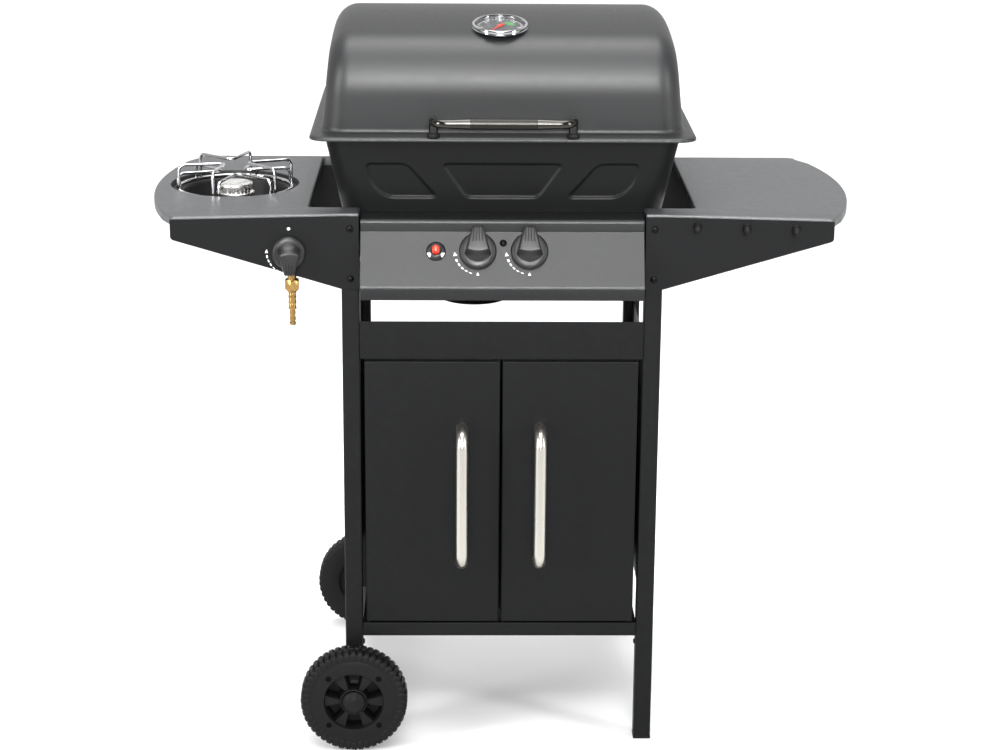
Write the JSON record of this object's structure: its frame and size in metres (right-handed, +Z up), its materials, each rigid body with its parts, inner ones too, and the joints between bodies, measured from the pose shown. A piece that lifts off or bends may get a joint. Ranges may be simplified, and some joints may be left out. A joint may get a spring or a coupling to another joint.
{
  "type": "gas barbecue grill",
  "caption": "Gas barbecue grill on a wheeled cart, with a hinged lid, a side burner, side shelves and a cupboard with double doors.",
  "frame": {"origin": "on the floor, under the middle of the whole object's box", "axes": "+X to the right as seen by the cook, +Y to the back, +Z up"},
  "size_m": [0.992, 0.52, 1.0452],
  "materials": {
    "powder_black": "fine-textured satin powder coat",
    "shelf_grey": "fine-textured satin powder coat, charcoal",
    "panel_grey": "fine-textured satin powder coat, charcoal",
    "lid_grey": "heat-resistant satin enamel, charcoal",
    "firebox_black": "matt black heat-resistant enamel",
    "black_plastic": "moulded black plastic",
    "knob_plastic": "moulded black phenolic, satin",
    "red_plastic": "glossy red",
    "screw_black": "black oxide",
    "satin_steel": "satin stainless steel",
    "plain_steel": "plain steel",
    "bright_chrome": "bright chrome plate",
    "dark_chrome": "dark chrome plate",
    "grip_steel": "satin steel, brown-grey",
    "burner_aluminium": "cast, lightly polished",
    "valve_brass": "turned brass",
    "grate_iron": "matt enamel",
    "gauge_glass": "clear"
  },
  "bodies": {
    "cart": {"leg_front_left": "powder_black", "leg_rear_left": "powder_black", "leg_front_right": "powder_black", "leg_rear_right": "powder_black", "bottom_shelf": "powder_black", "side_panels": "powder_black", "back_panel": "powder_black", "fascia": "powder_black", "support_rails": "powder_black", "apron_front_left": "powder_black", "apron_front_right": "powder_black", "aprons_rear": "powder_black", "hinge_brackets": "powder_black", "shelf_top_left": "shelf_grey", "shelf_top_right": "shelf_grey", "control_panel": "panel_grey", "firebox": "firebox_black", "side_burner_bowl": "firebox_black", "grease_cup": "firebox_black", "leg_plugs": "black_plastic", "axle_caps": "black_plastic", "door_catch": "black_plastic", "tool_pegs": "black_plastic", "igniter_housing": "black_plastic", "panel_screws": "screw_black", "axle": "plain_steel", "hinge_pins": "plain_steel", "gas_manifold": "plain_steel", "side_gas_pipe": "plain_steel", "burners": "plain_steel", "heat_plates": "plain_steel", "cup_hanger": "plain_steel", "pan_support": "bright_chrome", "side_burner_head": "burner_aluminium", "side_burner_cap": "burner_aluminium", "burner_valves": "valve_brass", "side_valve": "valve_brass", "hose_tail": "valve_brass", "cooking_grate": "grate_iron"},
    "lid": {"lid_shell": "lid_grey", "lid_hinge_ears": "lid_grey", "lid_handle_grip": "grip_steel", "lid_handle_ends": "dark_chrome", "lid_handle_spacers": "black_plastic", "gauge_case": "bright_chrome", "gauge_glass": "gauge_glass"},
    "gauge_pointer": {"gauge_needle": "red_plastic"},
    "left_door": {"door_left": "powder_black", "door_handle_left": "satin_steel"},
    "right_door": {"door_right": "powder_black", "door_handle_right": "satin_steel"},
    "front_wheel": {"wheel_front": "black_plastic"},
    "rear_wheel": {"wheel_rear": "black_plastic"},
    "left_tap": {"valve_stem_left": "plain_steel"},
    "left_knob": {"knob_left": "knob_plastic"},
    "right_tap": {"valve_stem_right": "plain_steel"},
    "right_knob": {"knob_right": "knob_plastic"},
    "side_tap": {"valve_stem_side": "plain_steel"},
    "side_knob": {"knob_side": "knob_plastic"},
    "spark_button": {"igniter_button": "red_plastic"}
  },
  "joints": [
    {"name": "lid_hinge", "type": "hinge", "parent": "cart", "child": "lid", "pos_m": [0, 0.232, 0.886], "axis": [-1, 0, 0], "range_deg": [0, 95]},
    {"name": "gauge_pointer_turn", "type": "hinge", "parent": "lid", "child": "gauge_pointer", "pos_m": [-0.004, -0.12, 1.0305], "axis": [0, 0.1822, -0.9833], "range_deg": [0, 240], "stiffness_Nm_per_rad": 0.0005},
    {"name": "left_door_hinge", "type": "hinge", "parent": "cart", "child": "left_door", "pos_m": [-0.1875, -0.2035, 0.38], "axis": [0, 0, -1], "range_deg": [0, 105]},
    {"name": "right_door_hinge", "type": "hinge", "parent": "cart", "child": "right_door", "pos_m": [0.1875, -0.2035, 0.38], "axis": [0, 0, 1], "range_deg": [0, 105]},
    {"name": "front_wheel_spin", "type": "hinge", "parent": "cart", "child": "front_wheel", "pos_m": [-0.21, -0.234, 0.077], "axis": [0, 1, 0], "continuous": true},
    {"name": "rear_wheel_spin", "type": "hinge", "parent": "cart", "child": "rear_wheel", "pos_m": [-0.21, 0.234, 0.077], "axis": [0, 1, 0], "continuous": true},
    {"name": "left_tap_turn", "type": "hinge", "parent": "cart", "child": "left_tap", "pos_m": [-0.034, -0.22188, 0.7382], "axis": [0, -0.9019, 0.4319], "range_deg": [0, 180]},
    {"name": "left_knob_push", "type": "slide", "parent": "left_tap", "child": "left_knob", "axis": [0, 0.9019, -0.4319], "range_m": [0, 0.003], "stiffness_N_per_m": 800, "springref_m": -0.002},
    {"name": "right_tap_turn", "type": "hinge", "parent": "cart", "child": "right_tap", "pos_m": [0.037, -0.22188, 0.7382], "axis": [0, -0.9019, 0.4319], "range_deg": [0, 180]},
    {"name": "right_knob_push", "type": "slide", "parent": "right_tap", "child": "right_knob", "axis": [0, 0.9019, -0.4319], "range_m": [0, 0.003], "stiffness_N_per_m": 800, "springref_m": -0.002},
    {"name": "side_tap_turn", "type": "hinge", "parent": "cart", "child": "side_tap", "pos_m": [-0.294, -0.21883, 0.736], "axis": [0.1061, -0.9944, 0], "range_deg": [0, 180]},
    {"name": "side_knob_push", "type": "slide", "parent": "side_tap", "child": "side_knob", "axis": [-0.1061, 0.9944, 0], "range_m": [0, 0.003], "stiffness_N_per_m": 800, "springref_m": -0.002},
    {"name": "spark_button_push", "type": "slide", "parent": "cart", "child": "spark_button", "axis": [0, 0.9019, -0.4319], "range_m": [0, 0.006], "stiffness_N_per_m": 600, "springref_m": -0.004}
  ]
}
